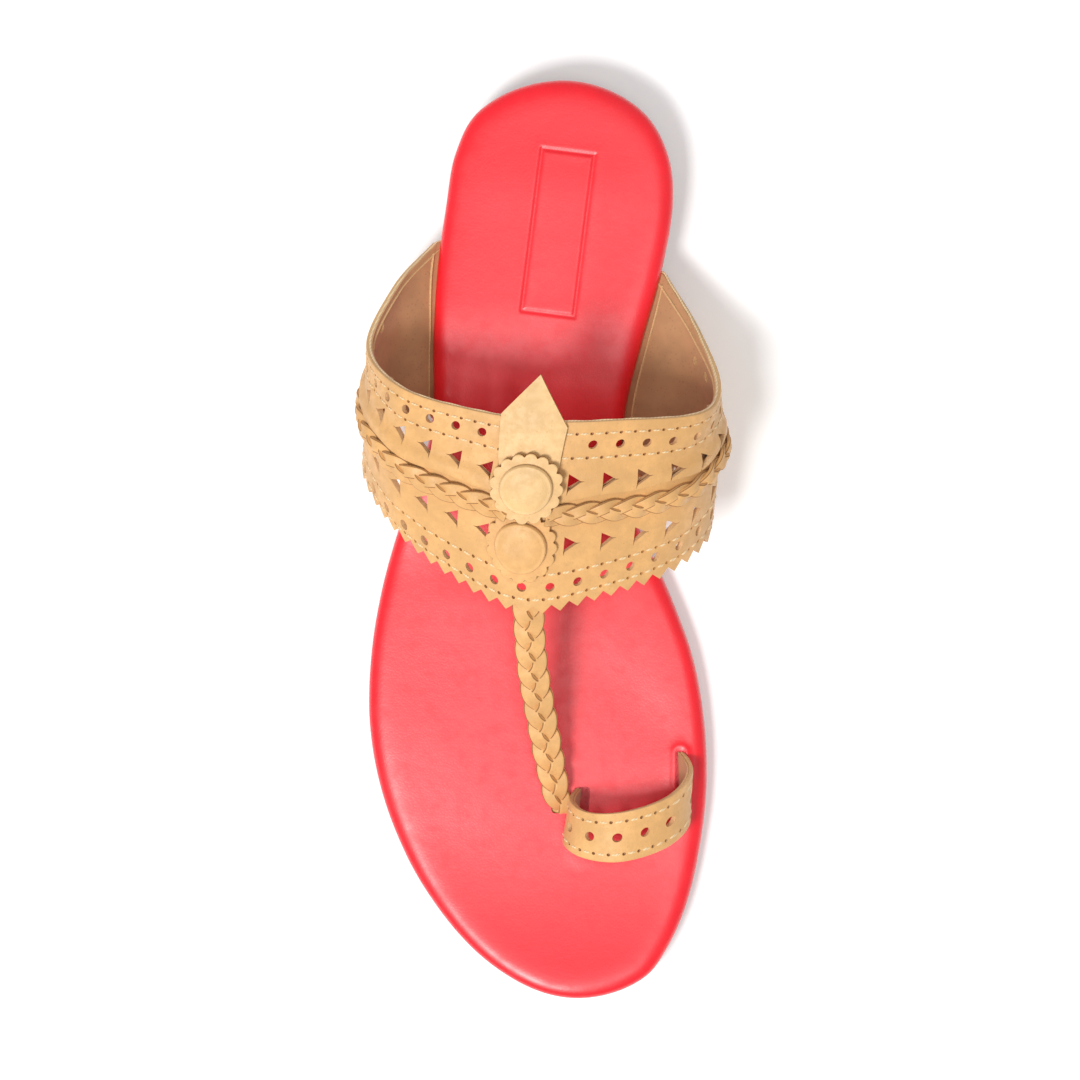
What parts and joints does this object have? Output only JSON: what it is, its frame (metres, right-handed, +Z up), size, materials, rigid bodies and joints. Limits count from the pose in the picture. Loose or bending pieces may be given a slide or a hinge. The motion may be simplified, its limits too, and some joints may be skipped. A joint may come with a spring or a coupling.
{
  "type": "kolhapuri sandal",
  "caption": "Flat toe-ring sandal for the right foot: wide punched instep band, braided T strap, padded insole and low heel.",
  "frame": {"origin": "on the floor, on the flat underside of the heel, 30 mm forward of the back of the sole", "axes": "+Y towards the back of the heel, the toe points to -Y; +X towards the big-toe (medial) side; +Z up from the floor"},
  "size_m": [0.1027, 0.25, 0.0712],
  "materials": {
    "tan_leather": "matt vegetable-tanned cowhide, natural tan, with cut edges and off-white stitching",
    "pale_leather": "matt vegetable-tanned cowhide, a shade paler than the band",
    "red_insole_leather": "smooth semi-gloss red coated leather over padding",
    "outsole_rubber": "matt brown rubber sheet with a fine pebbled tread"
  },
  "bodies": {
    "root": {"outsole": "outsole_rubber", "heel": "outsole_rubber", "insole": "red_insole_leather", "upper": "tan_leather", "toe_ring": "tan_leather", "instep_braid_lateral": "tan_leather", "instep_braid_medial": "tan_leather", "leaf_tab": "pale_leather", "rosette_rear": "tan_leather", "rosette_front": "tan_leather", "button_rear": "tan_leather", "button_front": "tan_leather"}
  },
  "joints": []
}
